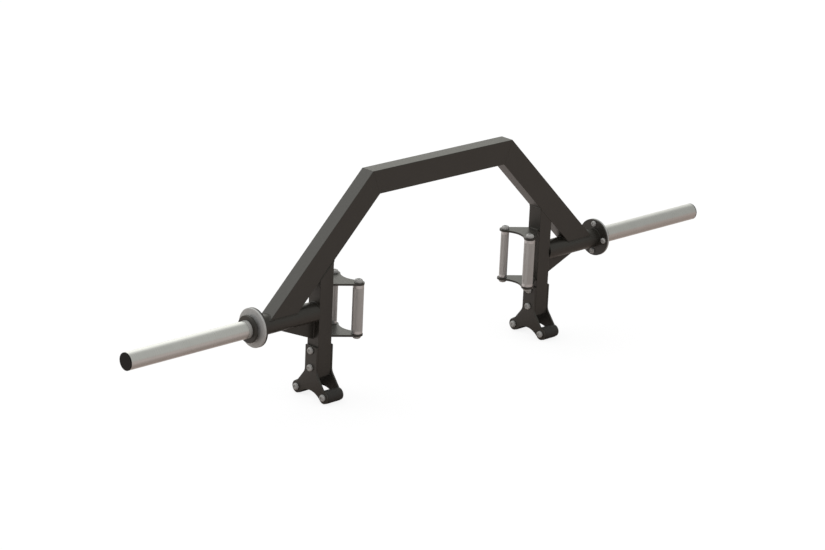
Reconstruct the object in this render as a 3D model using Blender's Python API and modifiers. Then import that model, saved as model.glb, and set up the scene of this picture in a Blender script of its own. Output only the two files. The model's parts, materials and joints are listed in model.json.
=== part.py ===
"""Open-ended trap bar: an arched, welded frame with two bolted-on rotating sleeves and upright grips.

Metres. X runs along the sleeves, +Y is the back, +Z is up, and the origin is on the floor in the middle,
under the arch. The bar stands on its toes. Everything but the beam is made twice, under one empty for each
side, and the left empty mirrors X. Distances along X are the right side's.
"""

import math

import bmesh
import bpy

# Overall
top_height = 0.636
axis_height = 0.257
half_length = 1.1115

# Room left between two pieces that touch, so that they stay separate solids
fit = 0.0003

# Arch of rectangular tube: the beam's outer top corner, the tube, and where a leg would meet the axis
beam_half_length = 0.272
arch_tube_height = 0.070
arch_tube_depth = 0.046
arch_tube_wall = 0.003
leg_to_flange = 0.017

# Posts
post_inner = 0.407
post_width = 0.048
post_depth = 0.048
post_wall = 0.003
post_end_margin = 0.025

# Cross pipes and gussets
pipe_radius = 0.0285
pipe_wall = 0.0025
gusset_height = 0.0515
gusset_thickness = 0.004
gusset_to_flange = 0.0947
gusset_blunt = 0.0025

# Flanges and their bolts
flange_start = 0.668
frame_flange_thickness = 0.005
sleeve_flange_thickness = 0.006
bolt_to_pipe = 0.0055
bolt_to_rim = 0.0045
flange_bolt_radius = 0.005
flange_bolt_head_radius = 0.00875
flange_bolt_head_height = 0.0055
tapped_hole_skin = 0.0012

# A domed bolt head: how far up its side is straight and how wide its flat top is, as shares of it
dome_start = 0.55
dome_top = 0.62

# Spindle and its retaining screw
boss_length = 0.0087
boss_step = 0.002
spindle_recess = 0.022
screw_radius = 0.006
screw_length = 0.024
screw_head_height = 0.005
screw_head_room = 0.002
screw_hole_spare = 0.002

# Sleeve: collar, bushing, tube and cap
collar_radius = 0.039
collar_thickness = 0.009
bushing_wall = 0.0047
ring_step = 0.0005
ring_width = 0.0097
ring_seat_depth = 0.001
sleeve_radius = 0.025
sleeve_wall = 0.0047
cap_thickness = 0.0032
cap_plug_length = 0.012
cap_plug_wall = 0.003

# Feet, drawn down from the top edge of their plates
foot_plate_thickness = 0.006
foot_plate_top = 0.1565
foot_corner_radius = 0.003
flank_length = 0.0685
flare_radius = 0.028
flare_turn = math.radians(39)
toe_offset = 0.0565
toe_radius = 0.019
lobe_inset = 0.001
foot_arch_rise = 0.006
upper_bolt_inset = 0.0135
post_bolt_spacing = 0.051
foot_bolt_radius = 0.006
foot_bolt_head_radius = 0.010
foot_bolt_head_height = 0.0075

# Handle sets, drawn inward from the post
handle_plate_thickness = 0.006
upper_plate_top = 0.334
lower_plate_top = 0.183
grip_reach = 0.069
grip_offset = 0.051
handle_lobe_radius = 0.017
handle_root_half_width = 0.020
handle_hollow_setback = 0.003
thick_grip_radius = 0.016
thin_grip_radius = 0.012
grip_bolt_radius = 0.006
thick_head_radius = 0.012
thick_head_height = 0.0088
thin_head_radius = 0.0115
thin_head_height = 0.0085

# Broken edges, and the extra length of a tube that is cut to its neighbour
edge = 0.001
spare = 0.020

# Facets round a circle
large = 36
medium = 24
small = 12

# Straight steps along an arc of a plate's outline
lobe_steps = 12
hollow_steps = 6
flare_steps = 5
corner_steps = 3

# Edges of turned pieces sharper than this stay sharp
smooth_up_to = math.radians(40)

# Worked out from the sizes above
arch_section = (arch_tube_height, arch_tube_depth)
post_outer = post_inner + post_width
foot_half_width = post_depth / 2
leg_run = flange_start - leg_to_flange - beam_half_length
leg_rise = top_height - axis_height
leg_slope = math.atan2(leg_rise, leg_run)
leg_length = math.hypot(leg_rise, leg_run)
flange_bolt_circle = pipe_radius + bolt_to_pipe + flange_bolt_head_radius
flange_radius = flange_bolt_circle + flange_bolt_head_radius + bolt_to_rim
sleeve_flange_start = flange_start + frame_flange_thickness + fit
sleeve_flange_end = sleeve_flange_start + sleeve_flange_thickness
boss_end = sleeve_flange_end + boss_length
collar_start = boss_end + fit
collar_end = collar_start + collar_thickness
ring_start = collar_end - ring_seat_depth + fit
ring_end = collar_end + fit + ring_width
tube_start = ring_end + fit
tube_end = half_length - cap_thickness - fit
spindle_end = tube_end - spindle_recess
sleeve_bore = sleeve_radius - sleeve_wall
bushing_radius = sleeve_bore - fit
spindle_radius = bushing_radius - bushing_wall - fit
ring_radius = sleeve_radius + ring_step
boss_radius = bushing_radius + boss_step
screw_head_radius = bushing_radius - screw_head_room
upper_bolt_height = foot_plate_top - upper_bolt_inset
lower_bolt_height = upper_bolt_height - post_bolt_spacing
post_bottom = lower_bolt_height - post_end_margin

# Turns that point a piece's own Z along X, or its own flat face along Y
facing_x = (0, math.pi / 2, 0)
facing_y = (math.pi / 2, 0, 0)

sides = {"right": 1, "left": -1}


def make_finish(name, colour, metallic, roughness):
    """A material of one plain colour, in linear light."""
    finish = bpy.data.materials.new(name)
    finish.use_nodes = True
    finish.diffuse_color = (*colour, 1)
    principled = finish.node_tree.nodes["Principled BSDF"]
    principled.inputs["Base Color"].default_value = (*colour, 1)
    principled.inputs["Metallic"].default_value = metallic
    principled.inputs["Roughness"].default_value = roughness
    return finish


def arc(across, up, radius, start, end, count):
    """Points of an arc in a flat drawing, both ends included."""
    points = []
    for step in range(count + 1):
        angle = start + (end - start) * step / count
        points.append((across + radius * math.cos(angle), up + radius * math.sin(angle)))
    return points


def circle(across, up, radius, count):
    return arc(across, up, radius, 0, 2 * math.pi, count)[:-1]


def mirrored(half):
    """The whole of an outline whose half stops on the middle line."""
    return half + [(along, -across) for along, across in reversed(half[:-1])]


def lobe_and_hollow(reach, offset, radius, setback, start):
    """Half of a plate's forked end: round one lobe from a start angle, then the hollow to the middle line.

    The hollow is an arc that touches both lobes, and stops a setback short of the line through their centres.
    """
    hollow = (offset**2 + setback**2 - radius**2) / (2 * (radius + setback))
    centre = reach - setback + hollow
    contact = math.atan2(-offset, centre - reach)
    points = arc(reach, offset, radius, start, contact, lobe_steps)
    return points + arc(centre, 0, hollow, contact + math.pi, math.pi, hollow_steps)[1:]


def add(name, data, parent, finish, location, rotation):
    """Puts a piece under its parent. One with no finish is a cutter, which doesn't render."""
    made = bpy.data.objects.new(name, data)
    made.parent = parent
    made.location = location
    made.rotation_euler = rotation
    if finish:
        data.materials.append(bpy.data.materials[finish])
        bpy.data.collections["open_ended_trap_bar"].objects.link(made)
    else:
        made.hide_render = True
        made.display_type = "WIRE"
        bpy.data.collections["cutters"].objects.link(made)
    return made


def add_empty(name, parent, location):
    made = bpy.data.objects.new(name, None)
    made.parent = parent
    made.location = location
    bpy.data.collections["open_ended_trap_bar"].objects.link(made)
    return made


def plate(name, outline, holes, thickness, parent, finish, location, rotation):
    """A flat plate: an outline and its holes as a filled 2D curve, extruded to both sides of its location."""
    curve = bpy.data.curves.new(name, "CURVE")
    curve.dimensions = "2D"
    curve.fill_mode = "BOTH"
    curve.extrude = thickness / 2
    for drawing in [outline] + holes:
        spline = curve.splines.new("POLY")
        spline.points.add(len(drawing) - 1)
        for point, (along, across) in zip(spline.points, drawing):
            point.co = (along, across, 0, 1)
        spline.use_cyclic_u = True
    return add(name, curve, parent, finish, location, rotation)


def turned(name, profile, count, parent, finish, location, rotation):
    """A turned piece, from its section as (distance along the axis, radius) points, low end first outside.

    A section that starts on the axis is solid, and any other is a closed ring.
    """
    mesh = bpy.data.meshes.new(name)
    # The Screw modifier wants the outer side run from its far end to its near one.
    points = [(radius, 0, along) for along, radius in reversed(profile)]
    lines = [(index, index + 1) for index in range(len(points) - 1)]
    if profile[0][1] > 0:
        lines.append((len(points) - 1, 0))
    mesh.from_pydata(points, lines, [])
    piece = add(name, mesh, parent, finish, location, rotation)
    screw = piece.modifiers.new("turn", "SCREW")
    screw.steps = count
    screw.render_steps = count
    screw.use_merge_vertices = True
    screw.merge_threshold = 0.00001
    solid = bpy.data.meshes.new_from_object(piece.evaluated_get(bpy.context.evaluated_depsgraph_get()))
    solid.shade_smooth()
    solid.set_sharp_from_angle(angle=smooth_up_to)
    piece.modifiers.clear()
    piece.data = solid
    return piece


def block(name, size, parent, location, rotation):
    """A box that cuts, centred on its location."""
    bm = bmesh.new()
    bmesh.ops.create_cube(bm, size=1)
    bmesh.ops.scale(bm, vec=size, verts=bm.verts)
    mesh = bpy.data.meshes.new(name)
    bm.to_mesh(mesh)
    bm.free()
    return add(name, mesh, parent, None, location, rotation)


def rod(name, radius, length, count, parent, location):
    """A round bar along X that cuts, centred on its location."""
    bm = bmesh.new()
    bmesh.ops.create_cone(bm, cap_ends=True, segments=count, radius1=radius, radius2=radius, depth=length)
    mesh = bpy.data.meshes.new(name)
    bm.to_mesh(mesh)
    bm.free()
    return add(name, mesh, parent, None, location, facing_x)


def square_tube(name, section, length, wall, parent, location, rotation):
    """A rectangular tube along its own Z, centred on its location and open at both ends."""
    bm = bmesh.new()
    bmesh.ops.create_cube(bm, size=1)
    bmesh.ops.scale(bm, vec=(*section, length), verts=bm.verts)
    bm.normal_update()
    ends = [face for face in bm.faces if abs(face.normal.z) > 0.5]
    bmesh.ops.delete(bm, geom=ends, context="FACES_ONLY")
    mesh = bpy.data.meshes.new(name)
    bm.to_mesh(mesh)
    bm.free()
    tube = add(name, mesh, parent, "black_paint", location, rotation)
    shell = tube.modifiers.new("wall", "SOLIDIFY")
    shell.thickness = wall
    shell.offset = -1
    shell.use_even_offset = True
    return tube


def cut(piece, cutters):
    for cutter in cutters:
        difference = piece.modifiers.new(cutter.name, "BOOLEAN")
        difference.operation = "DIFFERENCE"
        difference.solver = "EXACT"
        difference.object = cutter


def mitre_block(name, parent, clearance, outward):
    """A cutter with one face on the mitre of beam and leg. outward is 1 to cut what lies past it, or -1."""
    size = 4 * arch_tube_height
    across = (math.cos(leg_slope / 2), -math.sin(leg_slope / 2))
    shift = clearance + outward * size / 2
    location = (beam_half_length + across[0] * shift, 0, top_height + across[1] * shift)
    return block(name, (size, size, size), parent, location, (0, leg_slope / 2, 0))


def leg_place():
    """The leg's middle and its turn, with its own Z down the leg and its own X towards its underside."""
    along = leg_length / 2
    under = arch_tube_height / 2
    x = beam_half_length + along * math.cos(leg_slope) - under * math.sin(leg_slope)
    z = top_height - along * math.sin(leg_slope) - under * math.cos(leg_slope)
    return (x, 0, z), (0, math.pi / 2 + leg_slope, 0)


def make_beam(side_frames):
    height = top_height - arch_tube_height / 2
    length = 2 * (beam_half_length + spare)
    beam = square_tube("arch_beam", arch_section, length, arch_tube_wall, None, (0, 0, height), facing_x)
    cut(beam, [mitre_block(f"beam_mitre_{label}", side, 0, 1) for label, side in side_frames.items()])


def make_leg(label, side):
    location, rotation = leg_place()
    length = leg_length + 2 * arch_tube_height
    leg = square_tube(f"arch_leg_{label}", arch_section, length, arch_tube_wall, side, location, rotation)
    depth = 4 * arch_tube_height
    place = (0, 0, axis_height - depth / 2)
    below = block(f"leg_foot_{label}", (2 * half_length, depth, depth), side, place, (0, 0, 0))
    middle = ((post_outer + flange_start) / 2, 0, axis_height)
    cope = rod(f"leg_cope_{label}", pipe_radius + fit, flange_start - post_outer, large, side, middle)
    cut(leg, [mitre_block(f"leg_mitre_{label}", side, fit, -1), below, cope])


def make_post(label, side):
    corner, turn = leg_place()
    middle = (post_inner + post_outer) / 2
    # The leg's underside above the post's inner face, and so the post's highest point.
    drop = arch_tube_height / 2 / math.cos(leg_slope)
    top = corner[2] + (corner[0] - post_inner) * math.tan(leg_slope) - drop + spare
    centre = (middle, 0, (top + post_bottom) / 2)
    section = (post_width, post_depth)
    post = square_tube(f"post_{label}", section, top - post_bottom, post_wall, side, centre, (0, 0, 0))
    above = block(
        f"post_top_{label}", (arch_tube_height + 2 * fit, 2 * post_depth, 2 * leg_length), side, corner, turn
    )
    bores = []
    for name, height in (("upper", upper_bolt_height), ("lower", lower_bolt_height)):
        place = (middle, 0, height)
        bore = rod(f"post_bore_{name}_{label}", foot_bolt_radius + fit, 2 * post_width, small, side, place)
        bores.append(bore)
    cut(post, [above] + bores)


def make_pipe(label, side):
    length = flange_start - post_outer - 2 * fit
    bore = pipe_radius - pipe_wall
    profile = [(0, bore), (0, pipe_radius), (length, pipe_radius), (length, bore)]
    place = (post_outer + fit, 0, axis_height)
    turned(f"cross_pipe_{label}", profile, large, side, "black_paint", place, facing_x)


def make_gusset(label, side):
    """A triangle with a blunt tip, under the pipe and against the post."""
    length = flange_start - gusset_to_flange - post_outer
    outline = [(0, 0), (0, -gusset_height), (length, -gusset_blunt), (length, 0)]
    place = (post_outer + fit, 0, axis_height - pipe_radius - fit)
    plate(f"gusset_{label}", outline, [], gusset_thickness, side, "black_paint", place, facing_y)


def bolt_spots():
    """The four places of the flange bolts, as (name, Y, height above the axis)."""
    return [
        ("top", 0, flange_bolt_circle),
        ("front", -flange_bolt_circle, 0),
        ("bottom", 0, -flange_bolt_circle),
        ("back", flange_bolt_circle, 0),
    ]


def make_frame_flange(label, side):
    rim = circle(0, 0, flange_radius, large)
    holes = [circle(up, y, flange_bolt_radius + fit, small) for _, y, up in bolt_spots()]
    place = (flange_start + frame_flange_thickness / 2, 0, axis_height)
    plate(f"frame_flange_{label}", rim, holes, frame_flange_thickness, side, "black_paint", place, facing_x)


def make_spindle(label, side):
    """Sleeve flange, boss and spindle in one piece, with four blind holes at the back and one at its end."""
    flange = sleeve_flange_thickness
    boss = flange + boss_length
    end = spindle_end - sleeve_flange_start
    tap_radius = screw_radius + fit
    tap_depth = screw_length + screw_hole_spare
    profile = [
        (0, 0),
        (0, flange_radius),
        (flange - edge, flange_radius),
        (flange, flange_radius - edge),
        (flange, boss_radius),
        (boss, boss_radius),
        (boss, spindle_radius),
        (end, spindle_radius),
        (end, tap_radius),
        (end - tap_depth, tap_radius),
        (end - tap_depth, 0),
    ]
    place = (sleeve_flange_start, 0, axis_height)
    spindle = turned(f"spindle_flange_{label}", profile, large, side, "machined_steel", place, facing_x)
    bores = []
    for name, y, up in bolt_spots():
        hole_end = sleeve_flange_end - tapped_hole_skin
        length = 2 * (hole_end - sleeve_flange_start)
        place = (sleeve_flange_start, y, axis_height + up)
        bore = rod(f"flange_bore_{name}_{label}", flange_bolt_radius + fit, length, small, side, place)
        bores.append(bore)
    cut(spindle, bores)


def head(base, height, radius):
    """The outside of a domed bolt head, from base to tip. height is negative for one that faces back."""
    return [
        (base, radius),
        (base + dome_start * height, radius),
        (base + height, dome_top * radius),
        (base + height, 0),
    ]


def make_flange_bolts(label, side):
    """Button heads on the frame's side of the flange, and shanks into the sleeve flange's blind holes."""
    length = frame_flange_thickness + 2 * fit + sleeve_flange_thickness - tapped_hole_skin - fit
    profile = list(reversed(head(0, -flange_bolt_head_height, flange_bolt_head_radius)))
    profile += [(0, flange_bolt_radius), (length, flange_bolt_radius), (length, 0)]
    for name, y, up in bolt_spots():
        place = (flange_start - fit, y, axis_height + up)
        turned(f"flange_bolt_{name}_{label}", profile, small, side, "zinc_plate", place, facing_x)


def make_sleeve(label, side):
    """What turns on the spindle: collar, bushing, tube and end cap, under an empty on the joint's axis."""
    spin = add_empty(f"sleeve_spin_{label}", side, (0, 0, axis_height))

    seat = collar_thickness - ring_seat_depth
    collar = [
        (0, sleeve_bore),
        (0, collar_radius - edge),
        (edge, collar_radius),
        (collar_thickness - edge, collar_radius),
        (collar_thickness, collar_radius - edge),
        (collar_thickness, ring_radius + fit),
        (seat, ring_radius + fit),
        (seat, sleeve_bore),
    ]
    turned(f"stop_collar_{label}", collar, large, spin, "black_paint", (collar_start, 0, 0), facing_x)

    bore = spindle_radius + fit
    shoulder = ring_start - collar_start
    rim = ring_end - collar_start
    end = spindle_end - 2 * fit - collar_start
    bushing = [
        (0, bore),
        (0, bushing_radius),
        (shoulder, bushing_radius),
        (shoulder, ring_radius),
        (rim, ring_radius),
        (rim, bushing_radius),
        (end, bushing_radius),
        (end, bore),
    ]
    turned(f"sleeve_bushing_{label}", bushing, large, spin, "pale_bushing", (collar_start, 0, 0), facing_x)

    length = tube_end - tube_start
    tube = [
        (0, sleeve_bore),
        (0, sleeve_radius - edge / 2),
        (edge / 2, sleeve_radius),
        (length, sleeve_radius),
        (length, sleeve_bore),
    ]
    turned(f"sleeve_tube_{label}", tube, large, spin, "hard_chrome", (tube_start, 0, 0), facing_x)

    plug_bore = bushing_radius - cap_plug_wall
    cap = [
        (0, 0),
        (0, plug_bore),
        (-cap_plug_length, plug_bore),
        (-cap_plug_length, bushing_radius),
        (0, bushing_radius),
        (0, sleeve_radius),
        (cap_thickness - edge, sleeve_radius),
        (cap_thickness, sleeve_radius - edge),
        (cap_thickness, 0),
    ]
    place = (half_length - cap_thickness, 0, 0)
    turned(f"end_cap_{label}", cap, large, spin, "black_plastic", place, facing_x)


def make_retaining_screw(label, side):
    profile = [
        (-screw_length, 0),
        (-screw_length, screw_radius),
        (0, screw_radius),
        (0, screw_head_radius),
        (screw_head_height, screw_head_radius),
        (screw_head_height, 0),
    ]
    place = (spindle_end + fit, 0, axis_height)
    turned(f"retaining_screw_{label}", profile, medium, side, "zinc_plate", place, facing_x)


def through_bolt(name, length, shank, head_radius, head_height, side, location, rotation):
    """A bolt screwed into a barrel nut, with a domed head beyond each face of what it holds together."""
    profile = list(reversed(head(-fit, -head_height, head_radius)))
    profile += [(-fit, shank), (length + fit, shank)]
    profile += head(length + fit, head_height, head_radius)
    turned(name, profile, small, side, "zinc_plate", location, rotation)


def foot_outline():
    """The foot plate, drawn down from its top edge: a shank that flares into two round toes."""
    corner = foot_corner_radius
    flare = foot_half_width + flare_radius
    half = arc(corner, foot_half_width - corner, corner, math.pi, math.pi / 2, corner_steps)
    half += arc(flank_length, flare, flare_radius, -math.pi / 2, flare_turn - math.pi / 2, flare_steps)
    reach = foot_plate_top - toe_radius
    lobe = toe_radius - lobe_inset
    return mirrored(half + lobe_and_hollow(reach, toe_offset, lobe, foot_arch_rise, math.pi))


def make_foot(label, side):
    outline = foot_outline()
    hole = foot_bolt_radius + fit
    toes = {"front": -toe_offset, "back": toe_offset}
    posts = {"upper": upper_bolt_height, "lower": lower_bolt_height}
    holes = [circle(foot_plate_top - toe_radius, y, hole, small) for y in toes.values()]
    holes += [circle(foot_plate_top - height, 0, hole, small) for height in posts.values()]
    thickness = foot_plate_thickness
    half = thickness / 2
    for name, x in (("inner", post_inner - fit - half), ("outer", post_outer + fit + half)):
        place = (x, 0, foot_plate_top)
        plate(f"foot_plate_{name}_{label}", outline, holes, thickness, side, "black_paint", place, facing_x)

    low = post_inner - fit - thickness
    held = post_width + 2 * (fit + thickness)
    sizes = (held, foot_bolt_radius, foot_bolt_head_radius, foot_bolt_head_height)
    for name, height in posts.items():
        through_bolt(f"post_bolt_{name}_{label}", *sizes, side, (low, 0, height), facing_x)
    pad = [
        (0, hole),
        (0, toe_radius - edge),
        (edge, toe_radius),
        (post_width - edge, toe_radius),
        (post_width, toe_radius - edge),
        (post_width, hole),
    ]
    for name, y in toes.items():
        through_bolt(f"toe_bolt_{name}_{label}", *sizes, side, (low, y, toe_radius), facing_x)
        place = (post_inner, y, toe_radius)
        turned(f"toe_pad_{name}_{label}", pad, medium, side, "black_rubber", place, facing_x)


def handle_outline():
    """The wishbone plate, drawn inward from the post: straight edges from its root to two round lobes."""
    rise = grip_offset - handle_root_half_width
    span = math.hypot(grip_reach, rise)
    lean = math.atan2(rise, grip_reach) + math.asin(handle_lobe_radius / span)
    half = [(0, handle_root_half_width)]
    lobe_start = lean + math.pi / 2
    half += lobe_and_hollow(grip_reach, grip_offset, handle_lobe_radius, handle_hollow_setback, lobe_start)
    return mirrored(half)


def make_handles(label, side):
    outline = handle_outline()
    hole = grip_bolt_radius + fit
    holes = [circle(grip_reach, y, hole, small) for y in (-grip_offset, grip_offset)]
    face = post_inner - fit
    thickness = handle_plate_thickness
    for name, top in (("upper", upper_plate_top), ("lower", lower_plate_top)):
        place = (face, 0, top - thickness / 2)
        turn = (0, 0, math.pi)
        plate(f"handle_plate_{name}_{label}", outline, holes, thickness, side, "black_paint", place, turn)

    low = lower_plate_top + fit
    length = upper_plate_top - thickness - fit - low
    held = upper_plate_top - lower_plate_top + thickness
    grips = (
        ("thick", -grip_offset, thick_grip_radius, thick_head_radius, thick_head_height),
        ("thin", grip_offset, thin_grip_radius, thin_head_radius, thin_head_height),
    )
    for name, y, radius, head_radius, head_height in grips:
        profile = [
            (0, hole),
            (0, radius - edge),
            (edge, radius),
            (length - edge, radius),
            (length, radius - edge),
            (length, hole),
        ]
        x = face - grip_reach
        turned(f"grip_{name}_{label}", profile, medium, side, "knurled_steel", (x, y, low), (0, 0, 0))
        sizes = (held, grip_bolt_radius, head_radius, head_height)
        bottom = (x, y, lower_plate_top - thickness)
        through_bolt(f"grip_bolt_{name}_{label}", *sizes, side, bottom, (0, 0, 0))


def make_finishes():
    make_finish("black_paint", (0.040, 0.034, 0.030), 0.0, 0.45)
    make_finish("black_rubber", (0.031, 0.030, 0.027), 0.0, 0.80)
    make_finish("black_plastic", (0.018, 0.018, 0.016), 0.0, 0.50)
    make_finish("hard_chrome", (0.62, 0.62, 0.60), 1.0, 0.18)
    make_finish("machined_steel", (0.45, 0.45, 0.44), 1.0, 0.35)
    make_finish("knurled_steel", (0.42, 0.40, 0.37), 1.0, 0.50)
    make_finish("zinc_plate", (0.50, 0.49, 0.46), 1.0, 0.40)
    make_finish("pale_bushing", (0.55, 0.54, 0.50), 0.0, 0.50)


def main():
    for old in list(bpy.data.objects):
        bpy.data.objects.remove(old)
    for name in ("open_ended_trap_bar", "cutters"):
        bpy.context.scene.collection.children.link(bpy.data.collections.new(name))
    make_finishes()
    side_frames = {}
    for label, direction in sides.items():
        side_frames[label] = add_empty(f"{label}_side", None, (0, 0, 0))
        side_frames[label].scale.x = direction
    make_beam(side_frames)
    for label, side in side_frames.items():
        make_leg(label, side)
        make_post(label, side)
        make_pipe(label, side)
        make_gusset(label, side)
        make_frame_flange(label, side)
        make_spindle(label, side)
        make_flange_bolts(label, side)
        make_sleeve(label, side)
        make_retaining_screw(label, side)
        make_foot(label, side)
        make_handles(label, side)


main()
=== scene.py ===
# %% [markdown]
# # Open-ended trap bar
#
# The real object is a welded steel frame that a lifter stands inside. An arch of rectangular tube
# carries two posts, each with a two-toed foot below and a pair of upright grips on its inner side,
# and a plate sleeve turns freely at each end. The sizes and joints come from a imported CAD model.
# This lesson gives each piece the finish of the real one, and models what the CAD leaves plain:
# rounded edges, round arcs, hex sockets, knurling and weld beads.
#
# Everything is in metres. X runs along the sleeves, Y points to the back, Z is up, and the origin
# is on the floor.

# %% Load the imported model
import json
import math

import bmesh
import bpy
from mathutils import Matrix, Vector


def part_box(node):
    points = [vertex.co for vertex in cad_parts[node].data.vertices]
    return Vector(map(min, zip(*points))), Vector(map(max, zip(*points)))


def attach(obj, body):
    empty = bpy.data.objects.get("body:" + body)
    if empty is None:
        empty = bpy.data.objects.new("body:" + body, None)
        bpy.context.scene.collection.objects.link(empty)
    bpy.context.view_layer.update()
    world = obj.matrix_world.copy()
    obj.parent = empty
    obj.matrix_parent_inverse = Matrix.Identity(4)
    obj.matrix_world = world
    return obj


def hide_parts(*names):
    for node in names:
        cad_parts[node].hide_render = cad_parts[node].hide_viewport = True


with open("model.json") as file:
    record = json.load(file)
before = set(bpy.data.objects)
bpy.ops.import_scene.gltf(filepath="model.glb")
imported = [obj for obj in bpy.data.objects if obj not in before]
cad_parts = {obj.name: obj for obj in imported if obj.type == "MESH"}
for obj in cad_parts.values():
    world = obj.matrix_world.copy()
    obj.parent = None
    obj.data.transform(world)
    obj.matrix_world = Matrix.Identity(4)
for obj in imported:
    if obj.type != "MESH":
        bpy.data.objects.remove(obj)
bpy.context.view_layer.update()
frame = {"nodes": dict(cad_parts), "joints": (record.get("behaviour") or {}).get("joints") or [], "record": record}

print("CAD nodes:", len(frame["nodes"]))

# %% [markdown]
# ## Camera
#
# The photograph was taken from far off with a long lens, from the left and above, with the camera
# tipped a little to one side. A long lens keeps the two ends of the bar nearly the same size. The
# camera is aimed at a point near the middle of the bar, and then rolled about its own line of
# sight. An object is seen only when it is linked into the scene, so one function does both.


# %% Camera
def add_object(name, data):
    """A new object, linked into the scene."""
    made = bpy.data.objects.new(name, data)
    bpy.context.scene.collection.objects.link(made)
    return made


sensor_width_mm = 36.0
lens_mm = 124.13
aim = Vector((0.0, 0.0865, 0.2475))
roll = math.radians(2.51)
farthest_seen = 100.0

camera = add_object("camera", bpy.data.cameras.new("camera"))
bpy.context.scene.camera = camera
camera.data.sensor_width = sensor_width_mm
camera.data.lens = lens_mm
camera.data.clip_end = farthest_seen
camera.location = (-5.39898, -5.54163, 2.91424)
aimed = (aim - camera.location).to_track_quat("-Z", "Y")
camera.rotation_euler = (aimed.to_matrix() @ Matrix.Rotation(roll, 3, "Z")).to_euler()
print("camera to aim:", round((aim - camera.location).length, 3), "m")

# %% [markdown]
# ## Helpers for colours and nodes
#
# Colours are easiest to read as the hex values that a colour picker shows, but Blender mixes light
# in linear values, so one function turns one into the other. A second function adds any node, with
# its settings and its links, so that each material below reads as a short list of what feeds what.


# %% Hex colours and nodes
def linear(hex_colour):
    """An sRGB hex colour as linear red, green, blue and full opacity."""
    mixed = []
    for start in (1, 3, 5):
        share = int(hex_colour[start : start + 2], 16) / 255
        mixed.append(share / 12.92 if share <= 0.04045 else ((share + 0.055) / 1.055) ** 2.4)
    return (*mixed, 1.0)


def first_output(node):
    """The first output that a node offers with its present settings."""
    return next(output for output in node.outputs if output.enabled)


def add_node(tree, kind, inputs, to=None, **settings):
    """Adds a node. An input is a value, an output or a node. to is the node and input it feeds."""
    made = tree.nodes.new(kind)
    for name, value in settings.items():
        setattr(made, name, value)
    for name, value in inputs.items():
        named = [socket for socket in made.inputs if socket.enabled and socket.name == name]
        target = made.inputs[name] if isinstance(name, int) else named[0]
        if isinstance(value, bpy.types.Node):
            value = first_output(value)
        if isinstance(value, bpy.types.NodeSocket):
            tree.links.new(value, target)
        else:
            target.default_value = value
    if to:
        fed, name = to
        tree.links.new(first_output(made), fed.inputs[name])
    return made


print("hex #808080 is", round(linear("#808080")[0], 3), "in linear light")

# %% [markdown]
# ## Studio
#
# The object was pictured on seamless white. A steel bar shows mostly what it mirrors, so the room
# matters more than the lamps: bright behind the bar, dimmer on the camera's side, and warmer and
# darker below. The floor is one plain sheet, so wide that its edge is far off in every view.

# %% Floor sheet
bpy.context.scene.view_settings.view_transform = "Standard"
floor_width = 80.0
bm = bmesh.new()
bmesh.ops.create_grid(bm, x_segments=1, y_segments=1, size=floor_width / 2)
floor_mesh = bpy.data.meshes.new("floor")
bm.to_mesh(floor_mesh)
bm.free()
floor = add_object("floor", floor_mesh)
print("floor:", floor_width, "m wide")

# %% [markdown]
# The sheet is pale paper that takes the bar's soft shadow. Light Path tells its shader who is
# asking, so that the camera sees the paper as white, while what metal mirrors of it is warm and
# dim, as in the photograph. That mirrored glow carries painted light and shade. It nearly dies
# under the bar, as a painted shadow of the bar, and grows again behind it. In front it is stronger
# towards the left, as painted light. From below the sheet is clear, so that it hides nothing.
#
# Cycles would also pick such a glowing sheet as a lamp, and Light Path can't name the ray then. So
# the paper isn't sampled as a light.


# %% Floor paper
def who_asks(tree):
    """Whether a ray comes from the camera, and whether from a mirroring or clear surface."""
    asked = add_node(tree, "ShaderNodeLightPath", {}).outputs
    bounced = {0: asked["Is Glossy Ray"], 1: asked["Is Transmission Ray"]}
    return asked["Is Camera Ray"], add_node(tree, "ShaderNodeMath", bounced)


smooth = {"interpolation_type": "SMOOTHSTEP"}
# Painted light and shade in what metal mirrors: a stronger glow in front on the left, and a painted shadow of the
# bar under it.
painted_glow_left, painted_glow_right = 0.31, 0.13
glow_in_painted_bar_shadow = 0.03
glow_behind = 0.4

paper = bpy.data.materials.new("seamless_paper")
paper.use_nodes = True
paper.cycles.emission_sampling = "NONE"
tree = paper.node_tree
tree.nodes.clear()
by_camera, mirrored = who_asks(tree)
place = add_node(tree, "ShaderNodeTexCoord", {}).outputs["Object"]
spot = add_node(tree, "ShaderNodeSeparateXYZ", {"Vector": place}).outputs
# The limits are places on the floor.
limits = {"From Min": -0.6, "From Max": 1.4, "To Min": painted_glow_left, "To Max": painted_glow_right}
front = add_node(tree, "ShaderNodeMapRange", {"Value": spot["X"], **limits})
# Painted shadow of the bar: the mirrored glow nearly dies under it.
limits = {"From Min": -0.7, "From Max": -0.05, "To Min": front, "To Max": glow_in_painted_bar_shadow}
below = add_node(tree, "ShaderNodeMapRange", {"Value": spot["Y"], **limits}, **smooth)
limits = {"From Min": 0.02, "From Max": 0.18, "To Min": below, "To Max": glow_behind}
dim = add_node(tree, "ShaderNodeMapRange", {"Value": spot["Y"], **limits}, **smooth)
dimmed = add_node(tree, "ShaderNodeMath", {0: mirrored, 1: dim}, operation="MULTIPLY")
seen = add_node(tree, "ShaderNodeMath", {0: by_camera, 1: dimmed})
shades = {"Factor": by_camera, "A": linear("#a5968d"), "B": linear("#707070")}
shade = add_node(tree, "ShaderNodeMix", shades, data_type="RGBA")
matt = add_node(tree, "ShaderNodeBsdfDiffuse", {"Color": shade})
glow = add_node(tree, "ShaderNodeEmission", {"Color": linear("#ededed"), "Strength": seen})
lit = add_node(tree, "ShaderNodeAddShader", {0: matt, 1: glow})
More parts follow.
